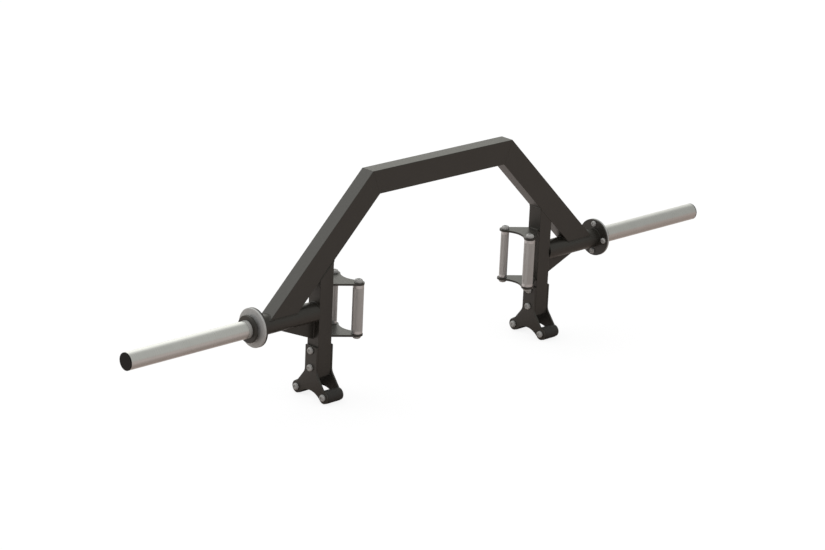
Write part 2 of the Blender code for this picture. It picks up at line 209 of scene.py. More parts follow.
clear = add_node(tree, "ShaderNodeBsdfTransparent", {})
from_below = add_node(tree, "ShaderNodeNewGeometry", {}).outputs["Backfacing"]
one_sided = add_node(tree, "ShaderNodeMixShader", {0: from_below, 1: lit, 2: clear})
add_node(tree, "ShaderNodeOutputMaterial", {"Surface": one_sided})
floor_mesh.materials.append(paper)
print("floor paper:", len(tree.nodes), "nodes")

# %% [markdown]
# The room is the world's shader. What the camera sees of it is white. What metal and paint mirror
# fades from dim on the camera's side to bright at the back, by the Y of the direction that the
# light comes from. Both levels rise gently from left to right, and fall at the far right end. Light
# Path must name every ray here too, so the world isn't sampled as a lamp.

# %% Room
dim_level, dim_level_at_end = 0.58, 0.38
bright_level, bright_level_at_end = 1.45, 0.76
left_share, right_share = 0.86, 1.15
unmirrored_level = 0.95
white_level = 1.0

world = bpy.data.worlds.new("white_studio")
bpy.context.scene.world = world
world.use_nodes = True
world.cycles.sampling_method = "NONE"
tree = world.node_tree
tree.nodes.clear()
by_camera, mirrored = who_asks(tree)
direction = add_node(tree, "ShaderNodeTexCoord", {}).outputs["Generated"]
split = add_node(tree, "ShaderNodeSeparateXYZ", {"Vector": direction}).outputs
# The limits are shares of the direction's length.
right_end = {"Value": split["X"], "From Min": 0.58, "From Max": 0.76}
levels = {"To Min": dim_level, "To Max": dim_level_at_end}
dim = add_node(tree, "ShaderNodeMapRange", {**right_end, **levels}, **smooth)
levels = {"To Min": bright_level, "To Max": bright_level_at_end}
bright = add_node(tree, "ShaderNodeMapRange", {**right_end, **levels}, **smooth)
limits = {"From Min": -0.05, "From Max": 0.73, "To Min": dim, "To Max": bright}
fade = add_node(tree, "ShaderNodeMapRange", {"Value": split["Y"], **limits}, **smooth)
limits = {"From Min": -0.35, "From Max": 0.5, "To Min": left_share, "To Max": right_share}
share = add_node(tree, "ShaderNodeMapRange", {"Value": split["X"], **limits}, **smooth)
fade = add_node(tree, "ShaderNodeMath", {0: fade, 1: share}, operation="MULTIPLY")
levels = {"Factor": mirrored, "A": unmirrored_level, "B": fade}
level = add_node(tree, "ShaderNodeMix", levels)
levels = {"Factor": by_camera, "A": level, "B": white_level}
level = add_node(tree, "ShaderNodeMix", levels)
tints = {"Factor": mirrored, "A": linear("#ffffff"), "B": linear("#fffff7")}
tint = add_node(tree, "ShaderNodeMix", tints, data_type="RGBA")
white = add_node(tree, "ShaderNodeBackground", {"Color": tint, "Strength": level})
add_node(tree, "ShaderNodeOutputWorld", {"Surface": white})
print("room: mirrored from", dim_level, "to", bright_level)

# %% [markdown]
# One wide, soft sun stands for the studio's overhead light, since a sun lights the whole floor
# evenly. It comes from above, a little from the left and the back, and its wide angle keeps the
# shadow faint and without an edge.

# %% Overhead light
sun_strength = 0.6
sun_width = math.radians(50)
sun_side = Vector((-0.35, 0.45, 0.82))
overhead = add_object("overhead", bpy.data.lights.new("overhead", "SUN"))
overhead.data.energy = sun_strength
overhead.data.angle = sun_width
overhead.rotation_euler = sun_side.to_track_quat("Z", "Y").to_euler()
print("sun:", sun_strength, "W/m2")

# %% [markdown]
# ## Powder coat
#
# The welded frame is powder coated: a polyester powder is sprayed on dry and baked until it flows
# together. It gives a tough, semi-gloss film that is a little wavy, like orange peel, and slightly
# warm for a black. Its mirror image of the bright room is what turns the tops of the tubes grey, so
# the IOR and the roughness matter more than the colour. The film's ripples are 1 to 2 mm apart, too
# fine for the picture, so slower waves of 6 mm are laid over them.
#
# Each finish below feeds the same three inputs of the shader, and only what feeds them differs.


# %% Powder coat
def new_finish(name, metallic, *grains):
    """A material's tree, shader and coordinates, and a noise for each grain's size and detail."""
    finish = bpy.data.materials.new(name)
    finish.use_nodes = True
    tree = finish.node_tree
    shader = tree.nodes["Principled BSDF"]
    shader.inputs["Metallic"].default_value = metallic
    place = add_node(tree, "ShaderNodeTexCoord", {}).outputs["Object"]
    noises = []
    for size, detail in grains:
        grain = {"Vector": place, "Scale": 1 / size, "Detail": detail}
        noises.append(add_node(tree, "ShaderNodeTexNoise", grain))
    return tree, shader, place, *noises


def dress(tree, shader, tones, shine, relief):
    """Mixes a shader's colour, spreads its roughness and bumps its surface."""
    add_node(tree, "ShaderNodeMix", tones, to=(shader, "Base Color"), data_type="RGBA")
    add_node(tree, "ShaderNodeMapRange", shine, to=(shader, "Roughness"))
    add_node(tree, "ShaderNodeBump", relief, to=(shader, "Normal"))


ripple_size = 0.0016
wave_size = 0.006
drift_size = 0.05
grains = (ripple_size, 2.0), (wave_size, 1.0), (drift_size, 2.0)
tree, shader, place, ripple, wave, drift = new_finish("black_powder_coat", 0.0, *grains)
shader.inputs["IOR"].default_value = 1.5
slow = {"Height": wave, "Distance": 0.0001, "Strength": 0.3}
slow = add_node(tree, "ShaderNodeBump", slow)
tones = {"Factor": drift, "A": linear("#25231f"), "B": linear("#2a2824")}
shine = {"Value": wave, "To Min": 0.33, "To Max": 0.43}
relief = {"Height": ripple, "Distance": 0.00005, "Strength": 0.35, "Normal": slow}
dress(tree, shader, tones, shine, relief)
print("black_powder_coat: ripples of", 1000 * ripple_size, "mm")

# %% [markdown]
# ## Rubber and plastic
#
# The toe pads are turned from solid rubber, which is duller than the paint, with a fine, sandy
# skin. The end caps are moulded from polyethylene, which is smoother, but soft enough to scuff.
# Both mirror the room only weakly, so they look darker than the paint beside them.

# %% Rubber pads
sand_size = 0.0012
bloom_size = 0.015
grains = (sand_size, 3.0), (bloom_size, 2.0)
tree, shader, place, sand, bloom = new_finish("solid_rubber", 0.0, *grains)
tones = {"Factor": bloom, "A": linear("#232220"), "B": linear("#2b2927")}
shine = {"Value": sand, "To Min": 0.6, "To Max": 0.8}
relief = {"Height": sand, "Distance": 0.0001, "Strength": 0.5}
dress(tree, shader, tones, shine, relief)
print("solid_rubber: grains of", 1000 * sand_size, "mm")

# %% Plastic caps
scuff_size = 0.003
tree, shader, place, scuff = new_finish("moulded_polyethylene", 0.0, (scuff_size, 4.0))
shader.inputs["Specular IOR Level"].default_value = 0.15
tones = {"Factor": scuff, "A": linear("#0a0a09"), "B": linear("#111110")}
shine = {"Value": scuff, "To Min": 0.38, "To Max": 0.55}
relief = {"Height": scuff, "Distance": 0.00004, "Strength": 0.3}
dress(tree, shader, tones, shine, relief)
print("moulded_polyethylene: scuffs of", 1000 * scuff_size, "mm")

# %% [markdown]
# ## Hard chrome
#
# A sleeve is ground round and then plated with hard chrome, which takes the wear of the plates.
# Grinding leaves hair-fine rings round the tube, a few hundredths of a millimetre apart, and they
# smear what it mirrors into soft bands along it. They are drawn 0.8 mm apart, as noise that is
# squeezed along X and stretched round the tube. A metal keeps the default IOR, and its base colour
# is how much it reflects: about 0.6 for chrome.

# %% Hard chrome sleeves
ring_spacing = 0.0008
ring_length = 0.05
haze_size = 0.03
tree, shader, place, haze = new_finish("ground_hard_chrome", 1.0, (haze_size, 3.0))
squeeze = {"Vector": place, "Scale": (1 / ring_spacing, 1 / ring_length, 1 / ring_length)}
squeeze = add_node(tree, "ShaderNodeMapping", squeeze)
grain = {"Vector": squeeze, "Scale": 1.0, "Detail": 2.0}
rings = add_node(tree, "ShaderNodeTexNoise", grain)
tones = {"Factor": haze, "A": linear("#c5c6c6"), "B": linear("#cfd0d0")}
shine = {"Value": rings, "To Min": 0.24, "To Max": 0.34}
relief = {"Height": rings, "Distance": 0.00001, "Strength": 0.3}
dress(tree, shader, tones, shine, relief)
print("ground_hard_chrome: rings", 1000 * ring_spacing, "mm apart")

# %% [markdown]
# ## Turned steel
#
# The sleeve's flange is faced on a lathe, so its tool marks are rings round the axis, about 0.3 mm
# apart. They are drawn 1.2 mm apart. A Wave texture draws rings about X, once a Mapping node has
# moved the axis to zero. Handled steel goes dull, so most of its grey is matt and only a quarter is
# the metal's own mirror.

# %% Turned flanges
axis_height = frame["joints"][0]["pos_m"][2]
tool_mark = 0.0012
cloud_size = 0.012
waves_per_unit = 20 / (2 * math.pi)
tree, shader, place, cloud = new_finish("turned_steel", 0.25, (cloud_size, 3.0))
centred = {"Vector": place, "Location": (0.0, 0.0, -axis_height)}
centred = add_node(tree, "ShaderNodeMapping", centred)
scale = 1 / tool_mark / waves_per_unit
marks = {"Vector": centred, "Scale": scale, "Distortion": 0.4, "Detail": 1.0}
marks = add_node(tree, "ShaderNodeTexWave", marks, wave_type="RINGS", rings_direction="X")
tones = {"Factor": cloud, "A": linear("#a6a7a6"), "B": linear("#b1b2b1")}
shine = {"Value": marks, "To Min": 0.5, "To Max": 0.6}
relief = {"Height": marks, "Distance": 0.00002, "Strength": 0.3}
dress(tree, shader, tones, shine, relief)
print("turned_steel: the axis is at", round(axis_height, 4), "m")

# %% [markdown]
# ## Knurled steel
#
# The grips' diamonds are cut into the mesh further on, so their finish needs only a dull nickel
# colour. Over the knurl it is darker, as painted shade of the grooves, and a noise stains it
# unevenly. The plain bands at the ends stay brighter. A Compare node tells the two apart by height,
# because all the grips stand at one height.

# %% Dull nickel plate on the grips
band = 0.009
stain_size = 0.01
burr_size = 0.0006
grains = (stain_size, 3.0), (burr_size, 1.0)
tree, shader, place, stain, burr = new_finish("dull_nickel_plate", 1.0, *grains)
# Painted shade of the knurl's grooves, with a random stain from the noise.
tones = {"Factor": stain, "A": linear("#b2b3b4"), "B": linear("#bcbdbe")}
stained_and_groove_shaded = add_node(tree, "ShaderNodeMix", tones, data_type="RGBA")
low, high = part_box("grip_thick_right")
middle = (low[2] + high[2]) / 2
up = add_node(tree, "ShaderNodeSeparateXYZ", {"Vector": place}).outputs["Z"]
knurled = {0: up, 1: middle, 2: high[2] - middle - band}
knurled = add_node(tree, "ShaderNodeMath", knurled, operation="COMPARE")
tones = {"Factor": knurled, "A": linear("#c8c8ca"), "B": stained_and_groove_shaded}
shine = {"Value": stain, "To Min": 0.36, "To Max": 0.5}
relief = {"Height": burr, "Distance": 0.00002, "Strength": 0.3}
dress(tree, shader, tones, shine, relief)
print("dull_nickel_plate: plain bands of", 1000 * band, "mm")

# %% [markdown]
# ## Zinc plate and nylon
#
# The bolts are zinc plated and passivated, which leaves them grey and nearly matt, with a faint
# mottle from the bath. The sleeve's bushing is pale grey nylon, which is smooth, but not shiny.

# %% Zinc plate and nylon
mottle_size = 0.003
tree, shader, place, mottle = new_finish("passivated_zinc", 0.1, (mottle_size, 4.0))
tones = {"Factor": mottle, "A": linear("#989896"), "B": linear("#a2a2a0")}
shine = {"Value": mottle, "To Min": 0.44, "To Max": 0.56}
relief = {"Height": mottle, "Distance": 0.00002, "Strength": 0.3}
dress(tree, shader, tones, shine, relief)

flow_size = 0.008
tree, shader, place, flow = new_finish("cast_nylon", 0.0, (flow_size, 3.0))
tones = {"Factor": flow, "A": linear("#9f9f9c"), "B": linear("#a8a8a5")}
shine = {"Value": flow, "To Min": 0.42, "To Max": 0.55}
relief = {"Height": flow, "Distance": 0.00003, "Strength": 0.2}
dress(tree, shader, tones, shine, relief)
print("passivated_zinc and cast_nylon")

# %% [markdown]
# ## How a piece is finished
#
# Every piece is modelled once, on the right side, and its left twin is its mirror image across
# X = 0. Mirroring turns a mesh inside out, so its faces are flipped back. A finished piece replaces
# the CAD node whose place it takes and hides it, rides on the same body, and takes the finish of
# the record's material slot.
# Rounded edges look smooth and flat faces stay flat because a Weighted Normal modifier lets the
# large faces decide the shading.

# %% From a bmesh to pieces on both sides
slot_finish = {
    "black_paint": "black_powder_coat",
    "black_rubber": "solid_rubber",
    "black_plastic": "moulded_polyethylene",
    "hard_chrome": "ground_hard_chrome",
    "machined_steel": "turned_steel",
    "knurled_steel": "dull_nickel_plate",
    "zinc_plate": "passivated_zinc",
    "pale_bushing": "cast_nylon",
}
node_slot = {row["node"]: row["material_slot"] for row in frame["record"]["subparts"]}
smooth_up_to = math.radians(35)


def to_mesh(bm, name):
    """The mesh of a bmesh, shaded smooth except at its sharp edges."""
    mesh = bpy.data.meshes.new(name)
    bm.to_mesh(mesh)
    bm.free()
    mesh.shade_smooth()
    mesh.set_sharp_from_angle(angle=smooth_up_to)
    return mesh


def mirror_image(mesh, name):
    """A copy of a mesh on the other side of X = 0, with its faces outwards."""
    image = mesh.copy()
    image.name = name
    image.transform(Matrix.Diagonal((-1.0, 1.0, 1.0, 1.0)))
    image.flip_normals()
    return image


def finish_piece(mesh, slot, body, node=None):
    """Makes a mesh a piece of the model, in the place of a CAD node if it has one."""
    mesh.materials.append(bpy.data.materials[slot_finish[slot]])
    piece = add_object(mesh.name, mesh)
    level_faces = piece.modifiers.new("level faces", "WEIGHTED_NORMAL")
    level_faces.keep_sharp = True
    if node:
        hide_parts(node)
    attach(piece, body)


def finish_pair(bm, stem, place=Matrix(), turning=False):
    """The right piece from its bmesh, moved to its place, and the left one as its mirror image."""
    bmesh.ops.transform(bm, matrix=place, verts=bm.verts)
    right = to_mesh(bm, f"finished_{stem}_right")
    left = mirror_image(right, f"finished_{stem}_left")
    for mesh, side in ((right, "right"), (left, "left")):
        node = f"{stem}_{side}"
        finish_piece(mesh, node_slot[node], f"sleeve_{side}" if turning else "frame", node)
    print(stem, "has", len(right.polygons), "faces")


print(len(slot_finish), "finishes for", len(node_slot), "nodes")

# %% [markdown]
# ## Rectangular tube and gussets
#
# Rectangular tube is rolled, so its long edges are round. The CAD has them dead sharp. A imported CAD
# mesh is loose triangles, so a copy of it is merged, its flat faces are made whole again, and then
# only the edges that the real piece has round are bevelled. The bmesh bevel needs more said than
# the one in the editor: what it bevels, its profile, and that it keeps the material. The beam has
# no twin, and is finished on its own.


# %% Copies with rounded edges
same_point = 0.000002
flat_within = math.radians(0.5)
corner_turn = math.radians(60)
edge_steps = 4


def merged_copy(node):
    """A CAD node's mesh as a bmesh of whole flat faces."""
    bm = bmesh.new()
    bm.from_mesh(frame["nodes"][node].data)
    bmesh.ops.remove_doubles(bm, verts=bm.verts, dist=same_point)
    bmesh.ops.dissolve_limit(bm, angle_limit=flat_within, verts=bm.verts, edges=bm.edges)
    bmesh.ops.recalc_face_normals(bm, faces=bm.faces)
    return bm


def round_off(bm, geom, radius, steps=edge_steps, affect="EDGES", offset_type="OFFSET"):
    """Rounds edges, or the corners of a flat drawing, in a few steps."""
    bmesh.ops.bevel(
        bm,
        geom=geom,
        offset=radius,
        offset_type=offset_type,
        segments=steps,
        profile=0.5,
        affect=affect,
        clamp_overlap=True,
        material=-1,
    )


def outer_corners(bm, shortest):
    """The edges that stick out at a right angle or so, from a length up."""
    paired = [edge for edge in bm.edges if len(edge.link_faces) == 2]
    long_enough = [edge for edge in paired if edge.calc_length() > shortest]
    return [edge for edge in long_enough if edge.calc_face_angle_signed() > corner_turn]


# %% Beam, legs, posts and gussets
tube_corner = 0.0015
plate_edge = 0.0006
shortest_tube_edge = 0.1

bm = merged_copy("arch_beam")
round_off(bm, outer_corners(bm, shortest_tube_edge), tube_corner)
finish_piece(to_mesh(bm, "finished_arch_beam"), "black_paint", "frame", "arch_beam")
for stem, radius, shortest in (
    ("arch_leg", tube_corner, shortest_tube_edge),
    ("post", tube_corner, shortest_tube_edge),
    ("gusset", plate_edge, 0.0),
):
    bm = merged_copy(f"{stem}_right")
    round_off(bm, outer_corners(bm, shortest), radius)
    finish_pair(bm, stem)

# %% [markdown]
# ## Laser-cut plates
#
# The foot and handle plates are cut from flat steel to an outline of straight lines and arcs. The
# outline is drawn as with a ruler and a compass: a vertex is the pencil, and a spin swings it round
# an arc's centre. Only half is drawn, from the plate's root to its middle line, and mirrored.


# %% Ruler and compass
lobe_steps = 28
hollow_steps = 14
line_gap = 0.00001


def corners_of(geom):
    """The vertices in what an operator returned."""
    return [item for item in geom if isinstance(item, bmesh.types.BMVert)]


def rule(bm, pencil, along, across):
    """A straight line from the pencil to a point. It returns the pencil at its new place."""
    end = bm.verts.new((along, across, 0.0))
    bm.edges.new((pencil, end))
    return end


def swing(bm, pencil, along, across, turn, steps):
    """Swings the pencil about a centre, and returns it at its new place."""
    centre = (along, across, 0.0)
    arc = bmesh.ops.spin(bm, geom=[pencil], cent=centre, axis=(0, 0, 1), angle=turn, steps=steps)
    return corners_of(arc["geom_last"])[0]


def fork(bm, pencil, reach, offset, lobe, setback, start):
    """A straight line to one round lobe, round it, and along the hollow to the middle line."""
    hollow = (offset**2 + setback**2 - lobe**2) / (2 * (lobe + setback))
    centre = reach - setback + hollow
    contact = math.atan2(-offset, centre - reach)
    pencil = rule(bm, pencil, reach + lobe * math.cos(start), offset + lobe * math.sin(start))
    pencil = swing(bm, pencil, reach, offset, contact - start, lobe_steps)
    swing(bm, pencil, centre, 0.0, -contact, hollow_steps)


def mirror_half(bm):
    """Adds the other half of an outline, beyond the middle line."""
    half = bm.verts[:] + bm.edges[:]
    bmesh.ops.mirror(bm, geom=half, matrix=Matrix(), merge_dist=line_gap, axis="Y")


# %% [markdown]
# Filling the outline and extruding it makes the plate. A narrow bevel breaks its edges, so that the
# powder doesn't thin out over them. The long edges of the rims are the ones whose face has more
# than four corners. A Boolean drills the holes, with bits that reach well past both faces.


# %% From an outline to a plate
hole_steps = 32


def solid_plate(bm, thickness):
    """Fills a closed outline, thickens it upwards and breaks its edges."""
    bmesh.ops.contextual_create(bm, geom=bm.edges[:])
    lifted = bmesh.ops.extrude_face_region(bm, geom=bm.faces[:])["geom"]
    bmesh.ops.translate(bm, vec=(0.0, 0.0, thickness), verts=corners_of(lifted))
    bmesh.ops.recalc_face_normals(bm, faces=bm.faces)
    rims = [edge for edge in bm.edges if max(len(face.verts) for face in edge.link_faces) > 4]
    round_off(bm, rims, plate_edge, steps=2)


def drill(bm, spots, radius, low=-0.01, high=0.02):
    """Bores round holes along Z, each from low to high, and returns the drilled bmesh."""
    bits = bmesh.new()
    for spot in spots:
        middle = Matrix.Translation((*spot, (low + high) / 2))
        size = {"radius1": radius, "radius2": radius, "depth": high - low}
        bmesh.ops.create_cone(bits, cap_ends=True, segments=hole_steps, matrix=middle, **size)
    work = add_object("work", to_mesh(bm, "work"))
    bit = add_object("bit", to_mesh(bits, "bit"))
    bore = work.modifiers.new("bore", "BOOLEAN")
    bore.object = bit
    drilled = bmesh.new()
    drilled.from_mesh(work.evaluated_get(bpy.context.evaluated_depsgraph_get()).data)
    for used in (work, bit):
        bpy.data.meshes.remove(used.data)
    return drilled


# %% [markdown]
# Each foot is two plates, bolted to the inner and the outer face of the post. A plate runs straight
# down, as wide as the post, flares on an arc to two toes, and has a shallow arch between them. It
# is drawn lying down, with its top at zero and its toes along X, and then hung from its top. Its
# holes, and all others, leave a gap of 0.3 mm round what goes into them.

# %% Foot plates
fit = 0.0003
foot_half_width = 0.024
foot_corner = 0.003
corner_steps = 6
flank_length = 0.0685
flare_radius = 0.028
flare_turn = math.radians(39)
flare_steps = 10
toe_offset = 0.0565
toe_radius = 0.019
toe_lobe = 0.018
foot_arch_rise = 0.006
foot_bolt_radius = 0.006
post_bolt_heights = (0.143, 0.092)

for name in ("inner", "outer"):
    low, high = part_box(f"foot_plate_{name}_right")
    bm = bmesh.new()
    pencil = rule(bm, bm.verts.new((0.0, 0.0, 0.0)), 0.0, foot_half_width - foot_corner)
    centre = (foot_corner, foot_half_width - foot_corner)
    pencil = swing(bm, pencil, *centre, -math.pi / 2, corner_steps)
    pencil = rule(bm, pencil, flank_length, foot_half_width)
    centre = (flank_length, foot_half_width + flare_radius)
    pencil = swing(bm, pencil, *centre, flare_turn, flare_steps)
    fork(bm, pencil, high[2] - toe_radius, toe_offset, toe_lobe, foot_arch_rise, math.pi)
    mirror_half(bm)
    solid_plate(bm, high[0] - low[0])
    spots = [(high[2] - height, 0.0) for height in post_bolt_heights]
    spots += [(high[2] - toe_radius, y) for y in (-toe_offset, toe_offset)]
    bm = drill(bm, spots, foot_bolt_radius + fit)
    hung = Matrix.Translation((low[0], 0.0, high[2])) @ Matrix.Rotation(math.pi / 2, 4, "Y")
    finish_pair(bm, f"foot_plate_{name}", hung)

# %% [markdown]
# Each handle has an upper and a lower wishbone plate, welded to the post's inner face. Its sides
# are straight from the root to the round lobes that hold the grips. A side must touch its lobe
# without a kink, so the direction in which it leans is worked out first, from the right triangle
# between the root, the lobe's centre and the point of contact.

# %% Handle plates
grip_reach = 0.069
grip_offset = 0.051
handle_lobe = 0.017
root_half_width = 0.020
handle_hollow_setback = 0.003
grip_bolt_radius = 0.006

rise = grip_offset - root_half_width
lean = math.atan2(rise, grip_reach) + math.asin(handle_lobe / math.hypot(grip_reach, rise))
touch = lean + math.pi / 2
for name in ("upper", "lower"):
    low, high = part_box(f"handle_plate_{name}_right")
    bm = bmesh.new()
    pencil = rule(bm, bm.verts.new((0.0, 0.0, 0.0)), 0.0, root_half_width)
    fork(bm, pencil, grip_reach, grip_offset, handle_lobe, handle_hollow_setback, touch)
    mirror_half(bm)
    solid_plate(bm, high[2] - low[2])
    spots = [(grip_reach, y) for y in (-grip_offset, grip_offset)]
    bm = drill(bm, spots, grip_bolt_radius + fit)
    inward = Matrix.Translation((high[0], 0.0, low[2])) @ Matrix.Rotation(math.pi, 4, "Z")
    finish_pair(bm, f"handle_plate_{name}", inward)

# %% [markdown]
# The frame's flange is a round plate, welded to the end of the pipe, with four bolt holes. It is
# made like the other plates, from a circle. One matrix turns what was drawn flat or spun round Z so
# that it faces right: Z becomes X, X becomes Y and Y becomes Z.

# %% Frame flanges
flange_bolt_circle = 0.04275
flange_bolt_radius = 0.005
round_steps = 96
bolt_spots = {
    "top": (0.0, flange_bolt_circle),
    "front": (-flange_bolt_circle, 0.0),
    "bottom": (0.0, -flange_bolt_circle),
    "back": (flange_bolt_circle, 0.0),
}
facing_right = Matrix(((0, 0, 1, 0), (1, 0, 0, 0), (0, 1, 0, 0), (0, 0, 0, 1)))

low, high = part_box("frame_flange_right")
bm = bmesh.new()
bmesh.ops.create_circle(bm, segments=round_steps, radius=(high[2] - low[2]) / 2)
solid_plate(bm, high[0] - low[0])
bm = drill(bm, bolt_spots.values(), flange_bolt_radius + fit)
at_flange = Matrix.Translation((low[0], 0.0, axis_height)) @ facing_right
finish_pair(bm, "frame_flange", at_flange)

# %% [markdown]
# ## Turned pieces
#
# Everything round about the sleeve's axis is a section that is spun, as on a lathe. A corner of the
# section can be given a radius, which a vertex bevel rounds before the spin. A section that starts
# on the axis makes a solid piece, and any other a ring. The steps are fine enough that no facet
# shows on the rim of a flange. The pipe between post and flange is the simplest: four corners.


# %% Spinning a section
def draw_section(bm, section):
    """Draws a section's corners, given as (along Z, radius), and the lines between them."""
    corners = [bm.verts.new((corner[1], 0.0, corner[0])) for corner in section]
    for pair in zip(corners, corners[1:]):
        bm.edges.new(pair)
    return corners


def spin_round(bm, steps):
    """Spins all that is drawn once round Z, and closes the seam and the poles."""
    bmesh.ops.spin(
        bm,
        geom=bm.verts[:] + bm.edges[:],
        cent=(0, 0, 0),
        axis=(0, 0, 1),
        angle=2 * math.pi,
        steps=steps,
        use_merge=True,
    )
    bmesh.ops.remove_doubles(bm, verts=bm.verts, dist=same_point)


def turned(section, solid=False, steps=round_steps):
    """A piece turned about Z. A corner with a third number is rounded by that radius."""
    bm = bmesh.new()
    corners = draw_section(bm, section)
    if not solid:
        bm.edges.new((corners[-1], corners[0]))
    for vertex, corner in zip(corners, section):
        if len(corner) == 3:
            round_off(bm, [vertex], corner[2], affect="VERTICES")
    spin_round(bm, steps)
    bmesh.ops.recalc_face_normals(bm, faces=bm.faces)
    return bm


def ring(length, bore, radius, *edges):
    """A plain ring's section, and the radii of its two outer corners if they are round."""
    outer = [(0.0, radius, *edges[:1]), (length, radius, *edges[1:])]
    return [(0.0, bore), *outer, (length, bore)]


def finish_turned(bm, stem, start, turning=True):
    """Lays a turned piece along X from its start, on the sleeve's axis, and finishes both."""
    place = Matrix.Translation((start, 0.0, axis_height)) @ facing_right
    finish_pair(bm, stem, place, turning)


pipe_radius = 0.0285
pipe_wall = 0.0025
low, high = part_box("cross_pipe_right")
section = ring(high[0] - low[0], pipe_radius - pipe_wall, pipe_radius)
finish_turned(turned(section), "cross_pipe", low[0], turning=False)

# %% [markdown]
# Flange, boss and spindle are machined from one piece of steel. The section steps down from the
# flange to the spindle and ends in the hole for the retaining screw. The bolts come from the
# frame's side, so their holes stop just short of the face that is seen.

# %% Sleeve flange, boss and spindle
flange = 0.006
boss_length = 0.0087
boss_radius = 0.022
spindle_radius = 0.015
screw_radius = 0.006
screw_hole_depth = 0.026
tapped_hole_skin = 0.0012
fine_edge = 0.0006
outer_rim_edge = 0.0015
spindle_edge = 0.001

low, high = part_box("spindle_flange_right")
flange_radius = (high[2] - low[2]) / 2
boss = flange + boss_length
end = high[0] - low[0]
section = [
    (0.0, 0.0),
    (0.0, flange_radius, fine_edge),
    (flange, flange_radius, outer_rim_edge),
    (flange, boss_radius),
    (boss, boss_radius, fine_edge),
    (boss, spindle_radius),
    (end, spindle_radius, spindle_edge),
    (end, screw_radius + fit),
    (end - screw_hole_depth, screw_radius + fit),
    (end - screw_hole_depth, 0.0),
]
bm = turned(section, solid=True)
hole_end = flange - tapped_hole_skin
bm = drill(bm, bolt_spots.values(), flange_bolt_radius + fit, high=hole_end)
finish_turned(bm, "spindle_flange", low[0], turning=False)

# %% [markdown]
# The sleeve itself is four pieces that turn together: the collar that plates stop against, the
# bushing whose pale rim shows next to it, the chromed tube, and the cap in its end. Their sections
# repeat the CAD's, with rounder corners.

# %% Collar and bushing
sleeve_bore = 0.0203
bushing_radius = 0.020
ring_radius = 0.0255
ring_seat_depth = 0.001
ring_width = 0.0097
ring_edge = 0.0004
bushing_edge = 0.0005
collar_radius = 0.039
collar_edge = 0.0015

low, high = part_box("stop_collar_right")
thickness = high[0] - low[0]
seat = thickness - ring_seat_depth
section = [
    (0.0, sleeve_bore),
    (0.0, collar_radius, collar_edge),
    (thickness, collar_radius, collar_edge),
    (thickness, ring_radius + fit),
    (seat, ring_radius + fit),
    (seat, sleeve_bore),
]
finish_turned(turned(section), "stop_collar", low[0])

low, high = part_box("sleeve_bushing_right")
length = high[0] - low[0]
shoulder = seat + fit
rim = thickness + fit + ring_width
section = [
    (0.0, spindle_radius + fit),
    (0.0, bushing_radius),
    (shoulder, bushing_radius),
    (shoulder, ring_radius),
    (rim, ring_radius, ring_edge),
    (rim, bushing_radius),
    (length, bushing_radius, bushing_edge),
    (length, spindle_radius + fit),
]
finish_turned(turned(section), "sleeve_bushing", low[0])

# %% [markdown]
# Only the sharpness is taken off the tube's ends. The cap is a disc with a soft rim and a hollow
# plug that is pressed into the bore, so the plug's length counts backwards from the disc.

# %% Tube and cap
sleeve_radius = 0.025
inner_tube_edge = 0.0005
outer_tube_edge = 0.0003
cap_thickness = 0.0032
cap_edge = 0.0012
cap_plug_length = 0.012
cap_plug_wall = 0.003
plug_edge = 0.0008

low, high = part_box("sleeve_tube_right")
length = high[0] - low[0]
section = ring(length, sleeve_bore, sleeve_radius, inner_tube_edge, outer_tube_edge)
finish_turned(turned(section), "sleeve_tube", low[0])

low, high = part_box("end_cap_right")
plug_bore = bushing_radius - cap_plug_wall
section = [
    (0.0, 0.0),
    (0.0, plug_bore),
    (-cap_plug_length, plug_bore),
    (-cap_plug_length, bushing_radius, plug_edge),
    (0.0, bushing_radius),
    (0.0, sleeve_radius),
    (cap_thickness, sleeve_radius, cap_edge),
    (cap_thickness, 0.0),
]
finish_turned(turned(section, solid=True), "end_cap", high[0] - cap_thickness)

# %% [markdown]
# A toe is a thick rubber disc between the two foot plates, with a hole for its bolt. Its axis is
# its own and not the sleeve's, so it is put in place by itself.

# %% Toe pads
pad_steps = 72
pad_edge = 0.0015
hole = foot_bolt_radius + fit
for name, y in (("front", -toe_offset), ("back", toe_offset)):
    low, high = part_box(f"toe_pad_{name}_right")
    section = ring(high[0] - low[0], hole, toe_radius, pad_edge, pad_edge)
    bm = turned(section, steps=pad_steps)
    place = Matrix.Translation((low[0], y, toe_radius)) @ facing_right
    finish_pair(bm, f"toe_pad_{name}", place)

# %% [markdown]
# ## Bolts
#
# All the bolts are button heads: a low dome with a hexagonal socket. The section is the shank and
# half of the head, spun round Z and left open at the socket's rim. The dome is one corner of the
# section, rounded nearly all the way along both of its sides, which makes a quarter of an ellipse.
# The rim is then extruded inwards and its new points are slid onto a hexagon, and extruding that
# downwards makes the socket. A hexagon's corners must fall on points of the rim, so it is turned by
# whole steps. The sockets are left shallow, because the photographed heads look even. The foot and
# the handle bolts end in a barrel nut with the same head, so half a bolt is mirrored to make both
# ends.


# %% Hexagonal sockets
def open_edges(geom):
    """The edges with a face on one side only in what an operator returned."""
    edges = [item for item in geom if isinstance(item, bmesh.types.BMEdge)]
    return [edge for edge in edges if edge.is_boundary]


